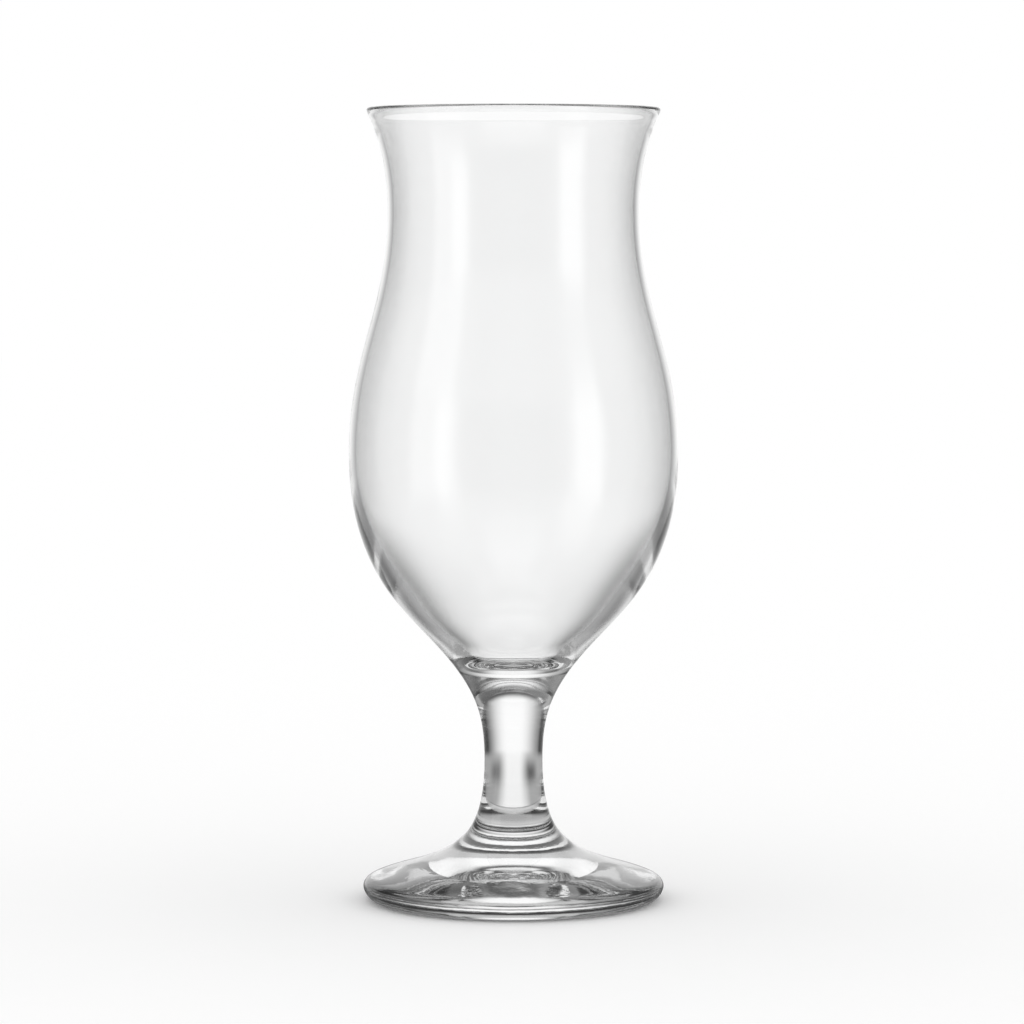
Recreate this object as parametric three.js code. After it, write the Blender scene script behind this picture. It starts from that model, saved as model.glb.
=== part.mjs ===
// Footed cocktail glass with a waisted bowl and a flared lip, in millimetres, +Z up.
// Three pieces of clear glass, each a solid of revolution, are fused end to end at two level welds:
// a blown bowl, a drawn stem and a pressed foot. One outline flows over both welds without a break.
// The origin is on the axis, in the plane that the foot stands on.

import * as THREE from 'three';

// Foot, with heights above the table. The slope is in degrees from level.
const FOOT_HEIGHT = 16.7;
const FOOT_RADIUS = 36.2;
const FOOT_EDGE_HEIGHT = 3.6;
const FOOT_EDGE_HOLD = 0.15;
const FLANK_RADIUS = 17.6;
const FLANK_HEIGHT = 11.5;
const FLANK_SLOPE = 27.3;
const FLANK_HOLD = 0.42;
const BEARING_INSET = 3.75;
const BEARING_WIDTH = 14.6;
const KICK_UP = 2.3;

// Stem, with heights above its weld on the foot. A flare is in degrees from upright.
const STEM_LENGTH = 35.5;
const STEM_BASE_RADIUS = 10.9;
const STEM_BASE_FLARE = 37.2;
const STEM_BASE_HOLD = 0.26;
const WAIST_RADIUS = 7;
const WAIST_HEIGHT = 16.8;
const WAIST_HOLD = 0.42;
const STEM_TOP_RADIUS = 11.4;
const STEM_TOP_FLARE = 30.8;
const STEM_TOP_HOLD = 0.345;

// Bowl, with heights above its weld on the stem. A flare is in degrees from upright.
const BOWL_HEIGHT = 138;
const SHOULDER_RADIUS = 26.4;
const SHOULDER_HEIGHT = 17.6;
const SHOULDER_FLARE = 41.6;
const SHOULDER_HOLD = 0.295;
const BELLY_RADIUS = 39.5;
const BELLY_HEIGHT = 54.9;
const BELLY_HOLD = 0.425;
const NECK_RADIUS = 30.1;
const NECK_BELOW_LIP = 24.2;
const NECK_HOLD = 0.41;
const LIP_RADIUS = 35.1;
const LIP_FLARE = 25.5;
const LIP_HOLD = 0.28;

// Walls of the bowl, which thicken from the lip to the solid floor
const LIP_WALL = 1.3;
const NECK_WALL = 1.45;
const BELLY_WALL = 1.7;
const SHOULDER_WALL = 3.6;
const FLOOR_THICKNESS = 5.2;
const FLOOR_HOLD = 0.5;

// Edge of the bowl's floor, where it turns up into the wall. Its rise is above the middle of the floor.
const FLOOR_EDGE_RADIUS = 12.5;
const FLOOR_EDGE_RISE = 3.6;
const FLOOR_EDGE_FLARE = 46;
const FLOOR_EDGE_HOLD = 0.3;

// Facets
const ROUND_STEPS = 60;
const CURVE_STEPS = 7;
const ROUNDING_STEPS = 5;

const LEVEL = 90;
const UPRIGHT = 0;
const UPWARDS = 1;
const DOWNWARDS = -1;

// A point of an outline and the way the glass climbs through it. The lean is in degrees from upright,
// positive where the glass widens upwards. The hold says how far a curve keeps to that lean before it
// bends away, as a share of the straight distance to the next station.
function station(radius, height, lean, hold) {
  const angle = THREE.MathUtils.degToRad(lean);
  return {
    at: new THREE.Vector2(radius, height),
    climb: new THREE.Vector2(Math.sin(angle), Math.cos(angle)),
    hold,
  };
}

// A station moved towards the axis, square to the glass.
function movedIn(outer, distance) {
  const inwards = new THREE.Vector2(-outer.climb.y, outer.climb.x);
  return { ...outer, at: outer.at.clone().addScaledVector(inwards, distance) };
}

// The curve that leaves one station and reaches the next along the lean of each.
function flow(from, to, sense = UPWARDS) {
  const span = from.at.distanceTo(to.at);
  const leaving = from.at.clone().addScaledVector(from.climb, sense * from.hold * span);
  const arriving = to.at.clone().addScaledVector(to.climb, -sense * to.hold * span);
  return new THREE.CubicBezierCurve(from.at, leaving, arriving, to.at);
}

// The level face from the axis out to a station, and the one from a station in to the axis.
function faceOut(to) {
  return new THREE.LineCurve(new THREE.Vector2(0, to.at.y), to.at);
}

function faceIn(from) {
  return new THREE.LineCurve(from.at, new THREE.Vector2(0, from.at.y));
}

// A turned piece of clear glass. Its outline runs out from the axis, up the outside and back to the axis.
function turnedGlass(name, curves) {
  const outline = [];
  for (const curve of curves) {
    const steps = curve.isLineCurve ? 1 : curve.isEllipseCurve ? ROUNDING_STEPS : CURVE_STEPS;
    const points = curve.getPoints(steps);
    outline.push(...(outline.length ? points.slice(1) : points));
  }
  const geometry = new THREE.LatheGeometry(outline, ROUND_STEPS);
  geometry.rotateX(Math.PI / 2);
  const clearGlass = new THREE.MeshStandardMaterial({
    color: 0xf3f5f5,
    roughness: 0.03,
    metalness: 0,
    transparent: true,
    opacity: 0.35,
  });
  const piece = new THREE.Mesh(geometry, clearGlass);
  piece.name = name;
  return piece;
}

// The weld faces, which both pieces at a weld share. Each height is that of the piece it is given for.
const stemBase = (height) => station(STEM_BASE_RADIUS, height, -STEM_BASE_FLARE, STEM_BASE_HOLD);
const stemTop = (height) => station(STEM_TOP_RADIUS, height, STEM_TOP_FLARE, STEM_TOP_HOLD);

// The pressed foot: a thick disc with a rounded edge, drawn up to the stem. It stands on a broad flat
// ring round a shallow hollow, so that it cannot rock on its middle.
function foot() {
  const edge = station(FOOT_RADIUS, FOOT_EDGE_HEIGHT, UPRIGHT, FOOT_EDGE_HOLD);
  const flank = station(FLANK_RADIUS, FLANK_HEIGHT, FLANK_SLOPE - LEVEL, FLANK_HOLD);
  const weld = stemBase(FOOT_HEIGHT);
  const ringOuter = new THREE.Vector2(FOOT_RADIUS - BEARING_INSET, 0);
  const ringInner = new THREE.Vector2(ringOuter.x - BEARING_WIDTH, 0);
  const domeRadius = (ringInner.x ** 2 + KICK_UP ** 2) / (2 * KICK_UP);
  const domeTop = Math.PI / 2;
  const domeEdge = domeTop - Math.asin(ringInner.x / domeRadius);
  return turnedGlass('foot', [
    new THREE.EllipseCurve(0, KICK_UP - domeRadius, domeRadius, domeRadius, domeTop, domeEdge, true),
    new THREE.LineCurve(ringInner, ringOuter),
    new THREE.EllipseCurve(
      ringOuter.x, FOOT_EDGE_HEIGHT, BEARING_INSET, FOOT_EDGE_HEIGHT, -Math.PI / 2, 0,
    ),
    flow(edge, flank),
    flow(flank, weld),
    faceIn(weld),
  ]);
}

// The solid stem, slimmest at its waist.
function stem() {
  const base = stemBase(0);
  const waist = station(WAIST_RADIUS, WAIST_HEIGHT, UPRIGHT, WAIST_HOLD);
  const top = stemTop(STEM_LENGTH);
  return turnedGlass('stem', [
    faceOut(base),
    flow(base, waist),
    flow(waist, top),
    faceIn(top),
  ]);
}

// The blown bowl: a round belly, a drawn-in neck and a flared lip, melted round at its edge.
function bowl() {
  const weld = stemTop(0);
  const shoulder = station(SHOULDER_RADIUS, SHOULDER_HEIGHT, SHOULDER_FLARE, SHOULDER_HOLD);
  const belly = station(BELLY_RADIUS, BELLY_HEIGHT, UPRIGHT, BELLY_HOLD);
  const neck = station(NECK_RADIUS, BOWL_HEIGHT - NECK_BELOW_LIP, UPRIGHT, NECK_HOLD);
  const round = LIP_WALL / 2;
  const lip = station(LIP_RADIUS - round, BOWL_HEIGHT - round, LIP_FLARE, LIP_HOLD);
  const lipAngle = THREE.MathUtils.degToRad(LIP_FLARE);
  const lipOutside = movedIn(lip, -round);
  const lipInside = movedIn(lip, round);
  const neckInside = movedIn(neck, NECK_WALL);
  const bellyInside = movedIn(belly, BELLY_WALL);
  const shoulderInside = movedIn(shoulder, SHOULDER_WALL);
  const floorEdgeHeight = FLOOR_THICKNESS + FLOOR_EDGE_RISE;
  const floorEdge = station(FLOOR_EDGE_RADIUS, floorEdgeHeight, FLOOR_EDGE_FLARE, FLOOR_EDGE_HOLD);
  const floor = station(0, FLOOR_THICKNESS, LEVEL, FLOOR_HOLD);
  return turnedGlass('bowl', [
    faceOut(weld),
    flow(weld, shoulder),
    flow(shoulder, belly),
    flow(belly, neck),
    flow(neck, lipOutside),
    new THREE.EllipseCurve(lip.at.x, lip.at.y, round, round, -lipAngle, Math.PI - lipAngle),
    flow(lipInside, neckInside, DOWNWARDS),
    flow(neckInside, bellyInside, DOWNWARDS),
    flow(bellyInside, shoulderInside, DOWNWARDS),
    flow(shoulderInside, floorEdge, DOWNWARDS),
    flow(floorEdge, floor, DOWNWARDS),
  ]);
}

const footPiece = foot();
const stemPiece = stem();
const bowlPiece = bowl();

// Each piece stands on the weld face of the one below it.
stemPiece.position.z = FOOT_HEIGHT;
bowlPiece.position.z = FOOT_HEIGHT + STEM_LENGTH;

const glass = new THREE.Group();
glass.add(footPiece, stemPiece, bowlPiece);

export default glass;
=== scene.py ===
import math
from typing import NamedTuple

import bpy
import numpy as np
from bpy.props import FloatProperty, FloatVectorProperty, IntProperty, PointerProperty
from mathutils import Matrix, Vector


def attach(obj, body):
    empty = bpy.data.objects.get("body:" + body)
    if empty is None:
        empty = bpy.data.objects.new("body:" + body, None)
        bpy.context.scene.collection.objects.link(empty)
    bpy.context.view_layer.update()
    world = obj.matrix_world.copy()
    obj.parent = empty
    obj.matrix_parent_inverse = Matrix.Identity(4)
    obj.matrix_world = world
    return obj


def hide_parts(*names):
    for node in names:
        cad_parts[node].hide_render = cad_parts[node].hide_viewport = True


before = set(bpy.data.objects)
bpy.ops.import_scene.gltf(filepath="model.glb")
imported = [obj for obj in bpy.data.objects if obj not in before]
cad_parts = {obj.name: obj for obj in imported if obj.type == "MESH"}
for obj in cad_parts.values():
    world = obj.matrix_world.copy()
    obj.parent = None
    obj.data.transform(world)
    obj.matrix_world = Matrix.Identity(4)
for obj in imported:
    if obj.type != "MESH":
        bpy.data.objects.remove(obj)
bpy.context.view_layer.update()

bl_info = {
    "name": "Footed cocktail glass",
    "version": (1, 0, 0),
    "blender": (4, 5, 0),
    "location": "3D View > Sidebar > Glass",
    "description": "Dresses the solids of a footed cocktail glass in clear glass and sets up its studio",
    "category": "Object",
}

BODY = "root"

# A point this near to the axis, the floor or the plane of an outline, in metres, counts as on it
NEAR = 1e-5

# The decimals to which points are read, so that points at one place are the same
DECIMALS = 6

# What a divisor is at least
TINY = 1e-6

# Ways along an outline, as steps out from the axis and up
LEVEL_OUT = (1.0, 0.0)
LEVEL_IN = (-1.0, 0.0)

# The points with which the outline of a piece on a weld begins: the weld's middle and its edge
WELD_POINTS = 2

# The material slots of a piece
SKIN = 0
WELD = 1

# The name under which each point of the set keeps its light
GLOW = "glow"


class GlassShape(bpy.types.PropertyGroup):
    """How finely the glass is turned."""

    segments: IntProperty(
        name="Segments", description="Flat sides round the axis", default=192, min=24, max=512)
    spacing: FloatProperty(
        name="Spacing", description="Longest step along the outline",
        default=0.0015, min=0.0002, unit="LENGTH")
    turn: FloatProperty(
        name="Turn", description="Sharpest bend between two steps of the outline",
        default=math.radians(2.5), min=0.005, subtype="ANGLE")


class GlassFinish(bpy.types.PropertyGroup):
    """The clear glass of the three pieces."""

    tint: FloatVectorProperty(
        name="Tint", description="Colour of the light that passes a surface",
        default=(0.985, 0.987, 0.987), size=3, min=0, max=1, subtype="COLOR")
    index: FloatProperty(
        name="Refractive index", description="Bending power of soda-lime glass",
        default=1.51, min=1, max=2)
    polish: FloatProperty(
        name="Polish", description="Roughness of the fire-polished skin",
        default=0.004, min=0, max=1, subtype="FACTOR")
    smear: FloatProperty(
        name="Smear", description="Roughness added where the skin was handled",
        default=0.012, min=0, max=1, subtype="FACTOR")
    blown_ripple: FloatProperty(
        name="Blown ripple", description="Depth of the slow waves that blowing leaves in the bowl",
        default=0.00002, min=0, unit="LENGTH")
    drawn_ripple: FloatProperty(
        name="Drawn ripple", description="Depth of the lengthwise lines that drawing leaves in the stem",
        default=0.00001, min=0, unit="LENGTH")
    pressed_ripple: FloatProperty(
        name="Pressed ripple", description="Depth of the chill waves that pressing leaves in the foot",
        default=0.00008, min=0, unit="LENGTH")


class GlassStudio(bpy.types.PropertyGroup):
    """The camera, the floor, and the set that only the glass sees."""

    camera_distance: FloatProperty(
        name="Camera distance", description="From the axis to the lens",
        default=1.03, min=0.2, unit="LENGTH")
    camera_height: FloatProperty(
        name="Camera height", description="Of the lens above the floor", default=0.1632, unit="LENGTH")
    camera_side: FloatProperty(
        name="Camera side", description="Of the lens to the right of the axis",
        default=-0.00036, unit="LENGTH")
    aim_height: FloatProperty(
        name="Aim height", description="Of the point on the axis at the middle of the picture",
        default=0.0935, unit="LENGTH")
    focal_length: FloatProperty(
        name="Focal length", description="On a 36 mm sensor",
        default=151.2, min=10, subtype="DISTANCE_CAMERA")
    floor_colour: FloatVectorProperty(
        name="Floor", description="Colour of the floor",
        default=(1, 1, 1), size=3, min=0, max=1, subtype="COLOR")
    set_radius: FloatProperty(
        name="Set radius", description="From the glass to the panels round it",
        default=0.9, min=0.3, unit="LENGTH")
    mat_radius: FloatProperty(
        name="Mat radius", description="Radius at which the mat ends and the table begins",
        default=0.043, min=0.037, unit="LENGTH")
    back_light: FloatProperty(
        name="Back light", description="Light from the white panel behind the glass",
        default=1.05, min=0)
    back_half: FloatProperty(
        name="Back half width", description="From the middle of the white panel to its soft edge",
        default=math.radians(27), subtype="ANGLE")
    back_fade: FloatProperty(
        name="Back fade", description="Width of the white panel's soft edge",
        default=math.radians(40), subtype="ANGLE")
    back_top: FloatProperty(
        name="Back top", description="Height of the white panel's soft upper edge",
        default=math.radians(32), subtype="ANGLE")
    top_fade: FloatProperty(
        name="Top fade", description="Width of the soft upper edge",
        default=math.radians(14), subtype="ANGLE")
    left_flag: FloatProperty(
        name="Left flag", description="Light from the dark panel on the left", default=0.25, min=0)
    right_flag: FloatProperty(
        name="Right flag", description="Light from the dark panel on the right", default=0.13, min=0)
    front_light: FloatProperty(
        name="Front", description="Light from the dark room behind the camera", default=0.05, min=0)
    front_lamp: FloatProperty(
        name="Front lamp", description="Light from the softbox high above the camera",
        default=0.7, min=0)
    left_lamp: FloatProperty(
        name="Left lamp", description="Light from the tall softbox left of the camera",
        default=0.9, min=0)
    right_lamp: FloatProperty(
        name="Right lamp", description="Light from the low softbox right of the camera",
        default=0.85, min=0)
    top_lamp: FloatProperty(
        name="Top lamp", description="Light from the softbox above and behind the glass",
        default=0.9, min=0)
    strip_light: FloatProperty(
        name="Strip", description="Light from the white strip of table behind the glass",
        default=0.96, min=0)
    strip_half: FloatProperty(
        name="Strip half width", description="From the middle of the strip to its soft edge",
        default=math.radians(14), subtype="ANGLE")
    left_table: FloatProperty(
        name="Left table", description="Light from the grey table left of the strip",
        default=0.42, min=0)
    right_table: FloatProperty(
        name="Right table", description="Light from the grey table right of the strip",
        default=0.38, min=0)
    front_table: FloatProperty(
        name="Front table", description="Light from the table in front of the glass",
        default=0.35, min=0)
    near_light: FloatProperty(
        name="Near table", description="Light from the table close beside the foot",
        default=0.05, min=0)
    left_card: FloatProperty(
        name="Left card", description="Light from the dark card that lies left of the strip",
        default=0.12, min=0)
    right_card: FloatProperty(
        name="Right card", description="Light from the dark card that lies right of the strip",
        default=0.17, min=0)
    mat_hollow: FloatProperty(
        name="Mat middle", description="Light from the mat under the hollow of the foot",
        default=0.4, min=0)
    mat_back: FloatProperty(
        name="Mat back", description="Light from the mat under the back of the foot",
        default=0.6, min=0)
    # The mat's pale front is a painted pool of light, standing for the light that the foot throws forward
    # onto the table
    mat_front_light_pool: FloatProperty(
        name="Mat front", description="Light from the mat under the front of the foot",
        default=0.6, min=0)
    mat_side: FloatProperty(
        name="Mat sides", description="Light from the mat under the sides of the foot",
        default=0.22, min=0)
    # Dark under the stem; under the foot's rounded edge this is painted shade
    mat_dark_and_shade: FloatProperty(
        name="Mat dark", description="Light from the mat under the stem and under the edge of the foot",
        default=0.04, min=0)


# Outlines

def meridian(node):
    """The half outline of a turned solid, as rows of radius and height from its lowest point on the axis."""
    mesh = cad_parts[node].data
    spots = {
        v.index: (round(max(v.co.x, 0.0), DECIMALS), round(v.co.z, DECIMALS))
        for v in mesh.vertices if abs(v.co.y) < NEAR and v.co.x > -NEAR
    }
    beside = {}
    for edge in mesh.edges:
        a, b = (spots.get(i) for i in edge.vertices)
        if a and b and a != b:
            beside.setdefault(a, set()).add(b)
            beside.setdefault(b, set()).add(a)
    at = min((s for s in beside if s[0] < NEAR), key=lambda s: s[1])
    walk = [at]
    while True:
        onward = [s for s in beside[at] if s not in walk]
        if not onward:
            break
        at = onward[0]
        walk.append(at)
    if walk[-1][0] > NEAR:
        raise RuntimeError(f"the outline of {node} doesn't come back to the axis")
    return np.array(walk)


class FairCurve:
    """A curve through given points whose curvature never jumps. Its way is given at both ends."""

    def __init__(self, points, leaving, arriving):
        self.points = np.asarray(points, float)
        self.spans = np.linalg.norm(np.diff(self.points, axis=0), axis=1)
        count = len(self.points)
        rows = np.eye(count)
        ways = np.zeros((count, 2))
        ways[0], ways[-1] = leaving, arriving
        chords = np.diff(self.points, axis=0) / self.spans[:, None]
        for i in range(1, count - 1):
            before, after = self.spans[i - 1], self.spans[i]
            rows[i, i - 1:i + 2] = after, 2 * (before + after), before
            ways[i] = 3 * (after * chords[i - 1] + before * chords[i])
        self.ways = np.linalg.solve(rows, ways)

    def run(self, first, last, shape):
        """Points from one given point to another, and the outward normal at each."""
        spots, ways = [], []
        for i in range(first, last):
            a, b = self.points[i], self.points[i + 1]
            span = self.spans[i]
            leave, arrive = self.ways[i] * span, self.ways[i + 1] * span
            bend = abs(math.remainder(math.atan2(*arrive) - math.atan2(*leave), math.tau))
            steps = max(1, math.ceil(span / shape.spacing), math.ceil(bend / shape.turn))
            for t in np.arange(steps) / steps:
                spots.append(self.between(a, b, leave, arrive, t))
                ways.append(self.slope(a, b, leave, arrive, t))
        spots.append(self.points[last])
        ways.append(self.ways[last])
        return np.array(spots), normals_of(np.array(ways))

    @staticmethod
    def between(a, b, leave, arrive, t):
        """The point at a share t of a span."""
        return ((2 * t**3 - 3 * t**2 + 1) * a + (t**3 - 2 * t**2 + t) * leave
                + (3 * t**2 - 2 * t**3) * b + (t**3 - t**2) * arrive)

    @staticmethod
    def slope(a, b, leave, arrive, t):
        """The way of the curve at that point."""
        return ((6 * t**2 - 6 * t) * (a - b) + (3 * t**2 - 4 * t + 1) * leave
                + (3 * t**2 - 2 * t) * arrive)


def normals_of(ways):
    """The outward normals of an outline that runs in these directions."""
    turned = np.stack([ways[:, 1], -ways[:, 0]], axis=1)
    return turned / np.linalg.norm(turned, axis=1)[:, None]


def level_run(start, end):
    """A straight run of outline and its normals."""
    spots = np.array([start, end], float)
    return spots, normals_of(np.repeat(spots[1:] - spots[:1], 2, axis=0))


def weld_out(skin):
    """The weld face from the axis out to the start of a skin."""
    return *level_run((0, skin[0][1]), skin[0]), WELD


def weld_in(skin):
    """The weld face from the end of a skin in to the axis."""
    return *level_run(skin[-1], (0, skin[-1][1])), WELD


def glass_outline():
    """The outline from the standing ring up the outside, over the lip and down to the floor of the bowl,
    as one curve, with the places of the two welds on it, and the underside of the foot."""
    foot, stem, bowl = (meridian(n) for n in ("foot", "stem", "bowl"))
    on_floor = np.flatnonzero(foot[:, 1] < NEAR)
    underside = foot[:on_floor[-1] + 1]
    pressed = foot[on_floor[-1]:-1]
    drawn = stem[WELD_POINTS:-1]
    blown = bowl[WELD_POINTS:]
    foot_weld = len(pressed) - 1
    bowl_weld = foot_weld + len(drawn)
    curve = FairCurve(np.concatenate([pressed, drawn, blown]), LEVEL_OUT, LEVEL_IN)
    return curve, foot_weld, bowl_weld, underside


# Meshes

def place(name, data):
    """A new object in the scene."""
    thing = bpy.data.objects.new(name, data)
    bpy.context.scene.collection.objects.link(thing)
    return thing


def turned_glass(name, runs, materials):
    """A closed mesh turned from runs of outline. Each run has its points, their normals and a slot."""
    segments = bpy.context.scene.glass_shape.segments
    angles = np.arange(segments) * math.tau / segments
    around = np.stack([np.cos(angles), np.sin(angles)], axis=1)
    spots, faces, slots, normals = [], [], [], []

    def ring(radius, height):
        """The points of one turn of the outline, or the one point where it meets the axis."""
        first = len(spots)
        if radius < NEAR:
            spots.append((0.0, 0.0, height))
        else:
            spots.extend((radius * c, radius * s, height) for c, s in around)
        return range(first, len(spots))

    def turned(normal, column):
        """A normal of the outline, turned to a column."""
        out, up = normal
        c, s = around[column]
        return out * c, out * s, up

    last = None
    for points, leans, slot in runs:
        last = last or ring(*points[0])
        for i in range(1, len(points)):
            here = ring(*points[i])
            for j in range(segments):
                k = (j + 1) % segments
                corners = []
                for loop, lean, columns in ((last, leans[i - 1], (j, k)), (here, leans[i], (k, j))):
                    if len(loop) == 1:
                        corners.append(loop[0])
                        normals.append((0.0, 0.0, lean[1]))
                    else:
                        corners.extend(loop[c] for c in columns)
                        normals.extend(turned(lean, c) for c in columns)
                faces.append(corners)
                slots.append(slot)
            last = here
    mesh = bpy.data.meshes.new(name)
    mesh.from_pydata(spots, [], faces)
    for material in materials:
        mesh.materials.append(material)
    mesh.polygons.foreach_set("material_index", slots)
    mesh.polygons.foreach_set("use_smooth", [True] * len(faces))
    mesh.normals_split_custom_set(normals)
    mesh.update()
    return place(name, mesh)


def dress(piece, node):
    """Puts a piece in the place of its solid."""
    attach(piece, BODY)
    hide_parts(node)


# Materials

# The skin's waves: their detail, how many fine ones there are to a slow one, and the heights of the fine
# ones between which the skin turns from untouched to handled
SLOW_DETAIL = 1
FINE_DETAIL = 2
FINE_TO_SLOW = 4
HANDLED_FROM = 0.45
HANDLED_TO = 0.75


def new_material(name):
    """An empty node material and its tree."""
    material = bpy.data.materials.new(name)
    material.use_nodes = True
    material.node_tree.nodes.clear()
    return material, material.node_tree


def glass_flow():
    """The node group of the glass's skin: slow waves with finer ones on them, and handled patches."""
    name = "Glass flow"
    if name in bpy.data.node_groups:
        return bpy.data.node_groups[name]
    group = bpy.data.node_groups.new(name, "ShaderNodeTree")
    face = group.interface
    face.new_socket("Vector", in_out="INPUT", socket_type="NodeSocketVector")
    for value in ("Waves", "Fine waves", "Polish", "Smear"):
        face.new_socket(value, in_out="INPUT", socket_type="NodeSocketFloat")
    for result in ("Height", "Roughness"):
        face.new_socket(result, in_out="OUTPUT", socket_type="NodeSocketFloat")
    nodes, links = group.nodes, group.links
    given = nodes.new("NodeGroupInput")
    made = nodes.new("NodeGroupOutput")
    slow = nodes.new("ShaderNodeTexNoise")
    slow.inputs["Detail"].default_value = SLOW_DETAIL
    quicker = nodes.new("ShaderNodeMath")
    quicker.operation = "MULTIPLY"
    quicker.inputs[1].default_value = FINE_TO_SLOW
    fine = nodes.new("ShaderNodeTexNoise")
    fine.inputs["Detail"].default_value = FINE_DETAIL
    height = nodes.new("ShaderNodeMath")
    height.operation = "MULTIPLY_ADD"
    handled = nodes.new("ShaderNodeMapRange")
    handled.interpolation_type = "SMOOTHSTEP"
    handled.inputs["From Min"].default_value = HANDLED_FROM
    handled.inputs["From Max"].default_value = HANDLED_TO
    rough = nodes.new("ShaderNodeMath")
    rough.operation = "MULTIPLY_ADD"
    links.new(given.outputs["Vector"], slow.inputs["Vector"])
    links.new(given.outputs["Waves"], slow.inputs["Scale"])
    links.new(given.outputs["Waves"], quicker.inputs[0])
    links.new(given.outputs["Vector"], fine.inputs["Vector"])
    links.new(quicker.outputs[0], fine.inputs["Scale"])
    links.new(fine.outputs["Fac"], height.inputs[0])
    links.new(given.outputs["Fine waves"], height.inputs[1])
    links.new(slow.outputs["Fac"], height.inputs[2])
    links.new(fine.outputs["Fac"], handled.inputs["Value"])
    links.new(handled.outputs["Result"], rough.inputs[0])
    links.new(given.outputs["Smear"], rough.inputs[1])
    links.new(given.outputs["Polish"], rough.inputs[2])
    links.new(height.outputs[0], made.inputs["Height"])
    links.new(rough.outputs[0], made.inputs["Roughness"])
    return group


def clear_glass(name, stretch, waves, fine, ripple):
    """Clear glass with its own waves: their scale along each axis, about how many there are to a metre,
    how deep the fine ones are beside the slow ones, and how deep the slow ones are."""
    finish = bpy.context.scene.glass_finish
    material, tree = new_material(name)
    nodes, links = tree.nodes, tree.links
    where = nodes.new("ShaderNodeTexCoord")
    drawn = nodes.new("ShaderNodeMapping")
    drawn.inputs["Scale"].default_value = stretch
    flow = nodes.new("ShaderNodeGroup")
    flow.node_tree = glass_flow()
    flow.inputs["Waves"].default_value = waves
    flow.inputs["Fine waves"].default_value = fine
    flow.inputs["Polish"].default_value = finish.polish
    flow.inputs["Smear"].default_value = finish.smear
    bump = nodes.new("ShaderNodeBump")
    bump.inputs["Strength"].default_value = 1
    bump.inputs["Distance"].default_value = ripple
    glass = nodes.new("ShaderNodeBsdfPrincipled")
    glass.inputs["Base Color"].default_value = (*finish.tint, 1)
    glass.inputs["IOR"].default_value = finish.index
    glass.inputs["Transmission Weight"].default_value = 1
    out = nodes.new("ShaderNodeOutputMaterial")
    links.new(where.outputs["Object"], drawn.inputs["Vector"])
    links.new(drawn.outputs["Vector"], flow.inputs["Vector"])
    links.new(flow.outputs["Height"], bump.inputs["Height"])
    links.new(flow.outputs["Roughness"], glass.inputs["Roughness"])
    links.new(bump.outputs["Normal"], glass.inputs["Normal"])
    links.new(glass.outputs["BSDF"], out.inputs["Surface"])
    return material


def fused_weld():
    """The weld faces inside the glass, where two pieces have run into one and light passes straight on."""
    name = "fused_weld"
    if name in bpy.data.materials:
        return bpy.data.materials[name]
    material, tree = new_material(name)
    clear = tree.nodes.new("ShaderNodeBsdfTransparent")
    out = tree.nodes.new("ShaderNodeOutputMaterial")
    tree.links.new(clear.outputs["BSDF"], out.inputs["Surface"])
    return material


def floor_paint(colour):
    """The matt paint of the floor."""
    material, tree = new_material("white_floor")
    matt = tree.nodes.new("ShaderNodeBsdfDiffuse")
    matt.inputs["Color"].default_value = (*colour, 1)
    out = tree.nodes.new("ShaderNodeOutputMaterial")
    tree.links.new(matt.outputs["BSDF"], out.inputs["Surface"])
    return material


def panel_glow():
    """The glow of the set, which gives off at each point the light that was worked out for it."""
    material, tree = new_material("studio_panels")
    level = tree.nodes.new("ShaderNodeAttribute")
    level.attribute_name = GLOW
    lamp = tree.nodes.new("ShaderNodeEmission")
    out = tree.nodes.new("ShaderNodeOutputMaterial")
    tree.links.new(level.outputs["Fac"], lamp.inputs["Strength"])
    tree.links.new(lamp.outputs["Emission"], out.inputs["Surface"])
    material.cycles.emission_sampling = "NONE"
    return material


# Pieces

class GLASS_OT_foot(bpy.types.Operator):
    """Turns the pressed foot: the hollow underside, the standing ring, the rounded edge and the flank"""

    bl_idname = "glass.foot"
    bl_label = "Foot"

    def execute(self, context):
        shape = context.scene.glass_shape
        finish = context.scene.glass_finish
        curve, foot_weld, _, underside = glass_outline()
        skin, skin_normals = curve.run(0, foot_weld, shape)
        dome = underside[:-1]
        ring_in, ring_out = underside[-2:]
        down = ring_in - dome[-2]
        hollow = FairCurve(dome, LEVEL_OUT, down / np.linalg.norm(down))
        runs = [
            (*hollow.run(0, len(dome) - 1, shape), SKIN),
            (*level_run(ring_in, ring_out), SKIN),
            (skin, skin_normals, SKIN),
            weld_in(skin),
        ]
        glass = clear_glass(
            "pressed_glass", stretch=(1, 1, 2.5), waves=110, fine=0.15, ripple=finish.pressed_ripple)
        dress(turned_glass("foot_glass", runs, [glass, fused_weld()]), "foot")
        return {"FINISHED"}


class GLASS_OT_stem(bpy.types.Operator):
    """Turns the solid drawn stem between its two welds"""

    bl_idname = "glass.stem"
    bl_label = "Stem"

    def execute(self, context):
        shape = context.scene.glass_shape
        finish = context.scene.glass_finish
        curve, foot_weld, bowl_weld, _ = glass_outline()
        skin, skin_normals = curve.run(foot_weld, bowl_weld, shape)
        runs = [weld_out(skin), (skin, skin_normals, SKIN), weld_in(skin)]
        glass = clear_glass(
            "drawn_glass", stretch=(1, 1, 0.12), waves=160, fine=0.25, ripple=finish.drawn_ripple)
        dress(turned_glass("stem_glass", runs, [glass, fused_weld()]), "stem")
        return {"FINISHED"}


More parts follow.
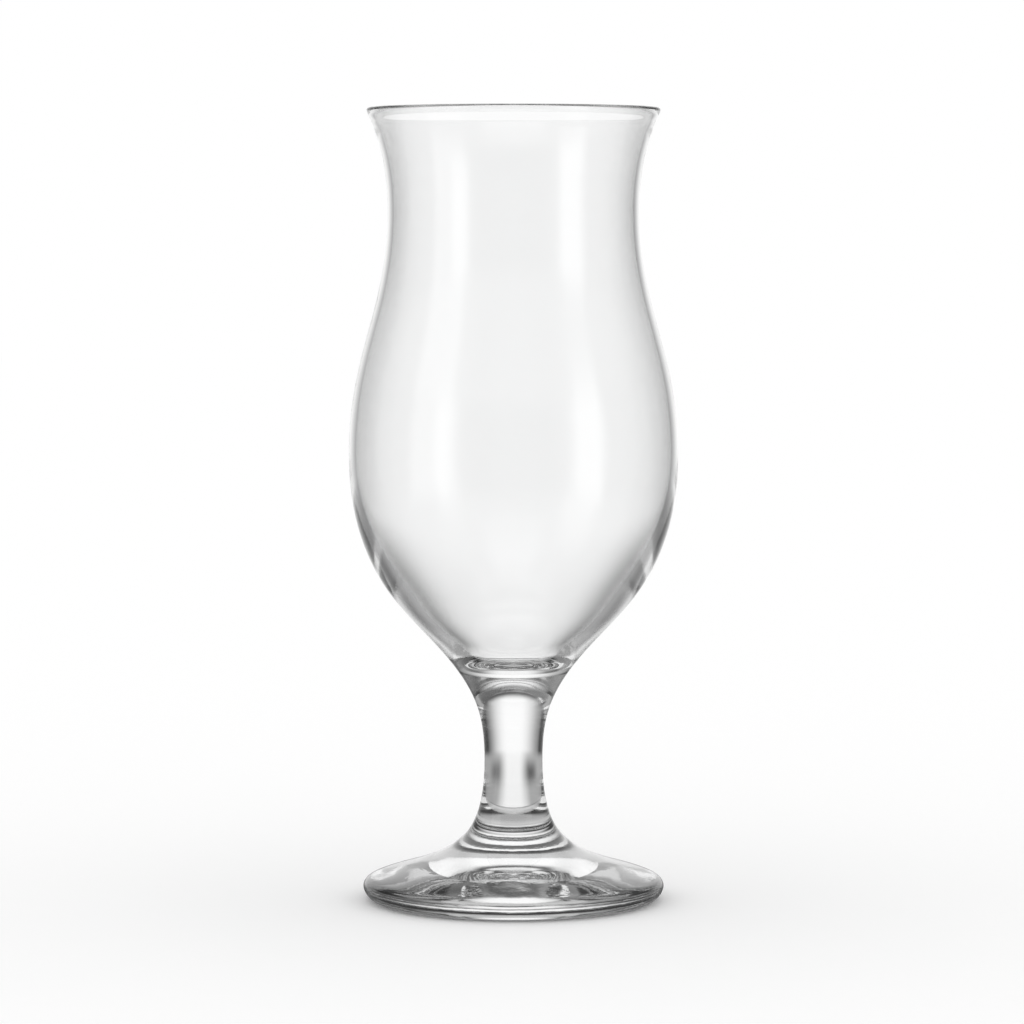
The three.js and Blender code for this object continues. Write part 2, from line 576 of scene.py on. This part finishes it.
class GLASS_OT_bowl(bpy.types.Operator):
    """Turns the blown bowl: outside, melted lip, inside and floor"""

    bl_idname = "glass.bowl"
    bl_label = "Bowl"

    def execute(self, context):
        shape = context.scene.glass_shape
        finish = context.scene.glass_finish
        curve, _, bowl_weld, _ = glass_outline()
        skin, skin_normals = curve.run(bowl_weld, len(curve.points) - 1, shape)
        runs = [weld_out(skin), (skin, skin_normals, SKIN)]
        glass = clear_glass(
            "blown_glass", stretch=(1, 1, 0.45), waves=45, fine=0.1, ripple=finish.blown_ripple)
        dress(turned_glass("bowl_glass", runs, [glass, fused_weld()]), "bowl")
        return {"FINISHED"}


# Stage

class Edge(NamedTuple):
    """A soft edge: where its middle is, and how wide it is."""

    middle: float
    width: float

    def past(self, value):
        """0 before the edge, 1 past it."""
        t = np.clip((value - self.middle) / max(self.width, TINY) + 0.5, 0, 1)
        return t * t * (3 - 2 * t)

    def before(self, value):
        """1 before the edge, 0 past it."""
        return 1 - self.past(value)


# Where the parts of the set begin and end. Sides are in degrees from straight behind the glass, with the
# right positive where left and right differ. Heights are in degrees above level, reaches in metres from
# the axis.

# The dark panels run into each other across the set, which goes from -1 on the left to 1 on the right
FLAG_BLEND = Edge(0, 1.8)

# The darker border round the top of the white panel, and the share of light that it takes away
BORDER_SIDE = Edge(34, 24)
BORDER_TOP = Edge(46, 14)
BORDER_SHADE = 0.4

# The nearly black stretch of panel low on each side of the white one, and its share
BLACK_INNER = Edge(46, 12)
BLACK_OUTER = Edge(68, 12)
BLACK_TOP = Edge(22, 14)
BLACK_SHADE = 0.85

# The dark room behind the camera, with a softbox high up in it
FRONT_SIDE = Edge(146, 14)
FRONT_LAMP_LOW = Edge(42, 14)
FRONT_LAMP_HIGH = Edge(72, 14)

# The softboxes left and right of the camera
LEFT_LAMP_FRONT = Edge(-136, 8)
LEFT_LAMP_BACK = Edge(-104, 8)
LEFT_LAMP_TOP = Edge(40, 20)
RIGHT_LAMP_BACK = Edge(117, 8)
RIGHT_LAMP_FRONT = Edge(136, 8)
RIGHT_LAMP_TOP = Edge(26, 20)

# The softbox above and behind the glass, as the way back and the way across for each metre up
TOP_LAMP_NEAR = Edge(0.5, 0.3)
TOP_LAMP_FAR = Edge(0.95, 0.3)
TOP_LAMP_LEFT = Edge(-0.5, 0.3)
TOP_LAMP_RIGHT = Edge(0.5, 0.3)
TOP_LAMP_LOW = Edge(35, 10)

# The table: where its left turns into its right, where its front begins, and where it runs into the panels
TABLE_BLEND = Edge(0, 10)
TABLE_FRONT = Edge(138, 20)
TABLE_END = Edge(0.36, 0.24)

# The soft edge of the white strip on the table
STRIP_FADE = 16

# The dark part of the table close beside the foot
BESIDE_END = Edge(0.075, 0.04)
BESIDE_BACK = Edge(58, 16)
BESIDE_FRONT = Edge(138, 16)

# The dark cards on the table. They spread in and out from a reach, in natural logarithms of it.
CARD_REACH = 0.165
CARD_SPREAD = Edge(0.35, 0.65)
CARD_SIDE = Edge(36, 20)

# The mat: where the ring round the foot's hollow begins, where its back ends and its front begins, which is
# a painted pool of light, and its dark edge, which is painted shade under the foot's rounded edge
MAT_RING = Edge(0.018, 0.012)
MAT_BACK = Edge(40, 40)
MAT_FRONT = Edge(130, 50)
MAT_SHADE_EDGE = Edge(0.034, 0.004)

# The mesh of the set: its columns round the glass, its rows, the small hole in the middle of the mat, and
# heights in metres. The panels are part of a globe.
SET_COLUMNS = 240
MAT_ROWS = 16
TABLE_ROWS = 24
PANEL_ROWS = 60
MAT_HOLE = 0.0002
MAT_HEIGHT = -0.0001
TABLE_HEIGHT = 0.0005
GLOBE_HEIGHT = 0.09
GLOBE_TOP = math.radians(89.5)

# The floor, in metres, and the sensor of the camera, in millimetres
FLOOR_REACH = 4.0
FLOOR_HEIGHT = -0.0002
SENSOR_WIDTH = 36

# Light runs down inside the wall from the lip, and needs many bounces to come out again. On the way it
# can pass the welds many times.
GLASS_BOUNCES = 192
WELD_BOUNCES = 32


def band(value, low, high):
    """1 between two soft edges, 0 outside them."""
    return low.past(value) * high.before(value)


def mix(first, second, share):
    """First where the share is 0, second where it is 1."""
    return first + (second - first) * share


def panel_light(x, y, z, studio):
    """Light from the panels in a direction from the glass, with y straight back and z up."""
    level = np.hypot(x, y)
    side = np.degrees(np.arctan2(x, y))
    height = np.degrees(np.arctan2(z, level))
    off = np.abs(side)
    light = mix(studio.left_flag, studio.right_flag, FLAG_BLEND.past(x / level))
    light = light * (1 - BORDER_SHADE * BORDER_SIDE.before(off) * BORDER_TOP.before(height))
    light = light * (1 - BLACK_SHADE * band(off, BLACK_INNER, BLACK_OUTER) * BLACK_TOP.before(height))
    front = FRONT_SIDE.past(off)
    light = mix(light, studio.front_light, front * FRONT_LAMP_LOW.before(height))
    light = mix(light, studio.front_lamp, front * band(height, FRONT_LAMP_LOW, FRONT_LAMP_HIGH))
    back_side = Edge(math.degrees(studio.back_half), math.degrees(studio.back_fade))
    back_top = Edge(math.degrees(studio.back_top), math.degrees(studio.top_fade))
    light = mix(light, studio.back_light, back_side.before(off) * back_top.before(height))
    left = band(side, LEFT_LAMP_FRONT, LEFT_LAMP_BACK) * LEFT_LAMP_TOP.before(height)
    light = mix(light, studio.left_lamp, left)
    right = band(side, RIGHT_LAMP_BACK, RIGHT_LAMP_FRONT) * RIGHT_LAMP_TOP.before(height)
    light = mix(light, studio.right_lamp, right)
    up = np.maximum(z, TINY)
    above = band(y / up, TOP_LAMP_NEAR, TOP_LAMP_FAR) * band(x / up, TOP_LAMP_LEFT, TOP_LAMP_RIGHT)
    return mix(light, studio.top_lamp, above * TOP_LAMP_LOW.past(height))


def table_light(x, y, studio):
    """Light from the table round the foot: a white strip that runs back, grey beside it, and a dark card on
    each side of it. Far out the table runs into the panels."""
    side = np.degrees(np.arctan2(x, y))
    off = np.abs(side)
    reach = np.hypot(x, y)
    right = TABLE_BLEND.past(side)
    light = mix(studio.left_table, studio.right_table, right)
    light = mix(light, studio.front_table, TABLE_FRONT.past(off))
    beside = BESIDE_END.before(reach) * band(off, BESIDE_BACK, BESIDE_FRONT)
    light = mix(light, studio.near_light, beside)
    card = mix(studio.left_card, studio.right_card, right)
    spread = np.abs(np.log(reach / CARD_REACH))
    light = mix(light, card, CARD_SPREAD.before(spread) * CARD_SIDE.before(off))
    strip = Edge(math.degrees(studio.strip_half), STRIP_FADE)
    light = mix(light, studio.strip_light, strip.before(off))
    return mix(light, panel_light(x, y, np.zeros(side.shape), studio), TABLE_END.past(reach))


def mat_light(x, y, studio):
    """Light from the mat that the foot stands on, which is seen only through the foot. Its pale front is a
    painted pool of the light that the foot throws forward, and its dark edge is painted shade under the
    foot's rounded edge.
    """
    off = np.degrees(np.abs(np.arctan2(x, y)))
    reach = np.hypot(x, y)
    ring = MAT_RING.past(reach)
    # The pale front is a painted pool of light
    light = mix(studio.mat_side, studio.mat_front_light_pool, MAT_FRONT.past(off))
    light = mix(studio.mat_dark_and_shade, light, ring)
    back = mix(studio.mat_hollow, studio.mat_back, ring)
    light = mix(light, back, MAT_BACK.before(off))
    # Painted shade under the foot's rounded edge
    return mix(light, studio.mat_dark_and_shade, MAT_SHADE_EDGE.past(reach))


def studio_set(studio):
    """The mat under the foot, the table and the panels round it, which only the glass sees."""
    sides = np.linspace(-math.pi, math.pi, SET_COLUMNS, endpoint=False)
    across, back = np.sin(sides), np.cos(sides)
    spots, glow, faces = [], [], []

    def row(reach, height, light):
        """One turn of the set, with the light of its points."""
        spots.extend(zip(across * reach, back * reach, np.full(SET_COLUMNS, height)))
        glow.extend(light)

    for reach in np.linspace(MAT_HOLE, studio.mat_radius, MAT_ROWS):
        row(reach, MAT_HEIGHT, mat_light(across * reach, back * reach, studio))
    for reach in np.geomspace(studio.mat_radius, studio.set_radius, TABLE_ROWS):
        row(reach, TABLE_HEIGHT, table_light(across * reach, back * reach, studio))
    lowest = math.atan2(TABLE_HEIGHT - GLOBE_HEIGHT, studio.set_radius)
    globe = studio.set_radius / math.cos(lowest)
    for angle in np.linspace(lowest, GLOBE_TOP, PANEL_ROWS):
        level, up = math.cos(angle), math.sin(angle)
        light = panel_light(across * level, back * level, np.full(SET_COLUMNS, up), studio)
        row(level * globe, up * globe + GLOBE_HEIGHT, light)
    for lower in range(0, len(spots) - SET_COLUMNS, SET_COLUMNS):
        upper = lower + SET_COLUMNS
        for j in range(SET_COLUMNS):
            k = (j + 1) % SET_COLUMNS
            faces.append((lower + j, lower + k, upper + k, upper + j))
    mesh = bpy.data.meshes.new("studio_set")
    mesh.from_pydata(spots, [], faces)
    mesh.attributes.new(GLOW, "FLOAT", "POINT").data.foreach_set("value", np.array(glow, np.float32))
    mesh.materials.append(panel_glow())
    panels = place("studio_set", mesh)
    panels.visible_camera = False
    panels.visible_diffuse = False
    panels.visible_shadow = False
    return panels


def white_room():
    """Surroundings that are white on every side."""
    world = bpy.data.worlds.new("white_room")
    world.use_nodes = True
    backdrop = world.node_tree.nodes["Background"]
    backdrop.inputs["Color"].default_value = (1, 1, 1, 1)
    backdrop.inputs["Strength"].default_value = 1
    return world


def studio_floor(studio):
    """The floor that the glass stands on, just below its foot."""
    corners = [(-1, -1), (1, -1), (1, 1), (-1, 1)]
    mesh = bpy.data.meshes.new("floor")
    mesh.from_pydata(
        [(x * FLOOR_REACH, y * FLOOR_REACH, FLOOR_HEIGHT) for x, y in corners], [], [(0, 1, 2, 3)])
    mesh.materials.append(floor_paint(studio.floor_colour))
    floor = place("floor", mesh)


def studio_camera(studio):
    """The camera, in front of the glass and turned to the point that it aims at."""
    camera = place("camera", bpy.data.cameras.new("camera"))
    camera.data.lens = studio.focal_length
    camera.data.sensor_width = SENSOR_WIDTH
    camera.location = (studio.camera_side, -studio.camera_distance, studio.camera_height)
    aim = Vector((studio.camera_side, 0, studio.aim_height))
    camera.rotation_mode = "QUATERNION"
    camera.rotation_quaternion = (aim - camera.location).to_track_quat("-Z", "Y")
    return camera


class GLASS_OT_stage(bpy.types.Operator):
    """Sets up the white surroundings, the floor, the camera and the set, which turns with the camera"""

    bl_idname = "glass.stage"
    bl_label = "Stage"

    def execute(self, context):
        scene = context.scene
        studio = scene.glass_studio
        scene.view_settings.view_transform = "Standard"
        scene.cycles.max_bounces = GLASS_BOUNCES
        scene.cycles.glossy_bounces = GLASS_BOUNCES
        scene.cycles.transmission_bounces = GLASS_BOUNCES
        scene.cycles.transparent_max_bounces = WELD_BOUNCES
        scene.world = white_room()
        studio_floor(studio)
        scene.camera = studio_camera(studio)
        facing = studio_set(studio).constraints.new("LOCKED_TRACK")
        facing.target = scene.camera
        facing.track_axis = "TRACK_NEGATIVE_Y"
        facing.lock_axis = "LOCK_Z"
        return {"FINISHED"}


class GLASS_PT_panel(bpy.types.Panel):
    """The glass's pieces and its studio, in the sidebar"""

    bl_idname = "GLASS_PT_panel"
    bl_label = "Footed cocktail glass"
    bl_space_type = "VIEW_3D"
    bl_region_type = "UI"
    bl_category = "Glass"

    def draw(self, context):
        for name in ("glass_shape", "glass_finish", "glass_studio"):
            group = getattr(context.scene, name)
            box = self.layout.box()
            for key in group.__annotations__:
                box.prop(group, key)
        for step in STEPS:
            self.layout.operator(step.bl_idname)


STEPS = (GLASS_OT_foot, GLASS_OT_stem, GLASS_OT_bowl, GLASS_OT_stage)
CLASSES = (GlassShape, GlassFinish, GlassStudio, *STEPS, GLASS_PT_panel)


def register():
    for cls in CLASSES:
        bpy.utils.register_class(cls)
    bpy.types.Scene.glass_shape = PointerProperty(type=GlassShape)
    bpy.types.Scene.glass_finish = PointerProperty(type=GlassFinish)
    bpy.types.Scene.glass_studio = PointerProperty(type=GlassStudio)


def unregister():
    del bpy.types.Scene.glass_studio
    del bpy.types.Scene.glass_finish
    del bpy.types.Scene.glass_shape
    for cls in reversed(CLASSES):
        bpy.utils.unregister_class(cls)


def main():
    register()
    bpy.ops.glass.foot()
    bpy.ops.glass.stem()
    bpy.ops.glass.bowl()
    bpy.ops.glass.stage()


if __name__ == "__main__":
    main()
